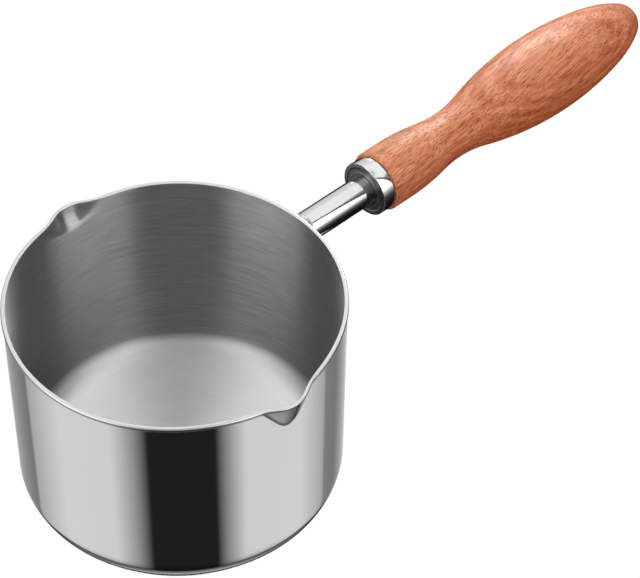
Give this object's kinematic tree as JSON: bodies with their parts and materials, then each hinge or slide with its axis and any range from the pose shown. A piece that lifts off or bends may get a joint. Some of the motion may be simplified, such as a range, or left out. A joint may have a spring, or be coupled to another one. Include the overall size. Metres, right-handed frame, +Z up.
{
  "type": "milk pan",
  "caption": "Small round steel pan with a pouring lip on each side and a turned wooden grip on a welded steel tube.",
  "frame": {"origin": "on the underside of the pan, on the axis of its round pot", "axes": "+Z up along the pot's axis, +X along the handle away from the pot, +Y to the handle's left"},
  "size_m": [0.3018, 0.1282, 0.0968],
  "materials": {
    "pan_steel": "stainless steel, mirror polished outside, fine satin brushing round the inside and on the floor",
    "tube_steel": "stainless steel, bright polished",
    "weld_steel": "stainless steel, ground and polished fillet",
    "ferrule_steel": "stainless steel, bright polished",
    "grip_wood": "reddish brown hardwood, turned, fine pores along the grain, half gloss lacquer",
    "inner_steel": "plain turned steel",
    "inner_brass": "plain turned brass"
  },
  "bodies": {
    "root": {"pan_body": "pan_steel", "handle_tube": "tube_steel", "weld_bead": "weld_steel", "ferrule": "ferrule_steel", "wood_grip": "grip_wood", "tube_plug": "inner_steel", "tie_stud": "inner_steel", "threaded_insert": "inner_brass"}
  },
  "joints": []
}
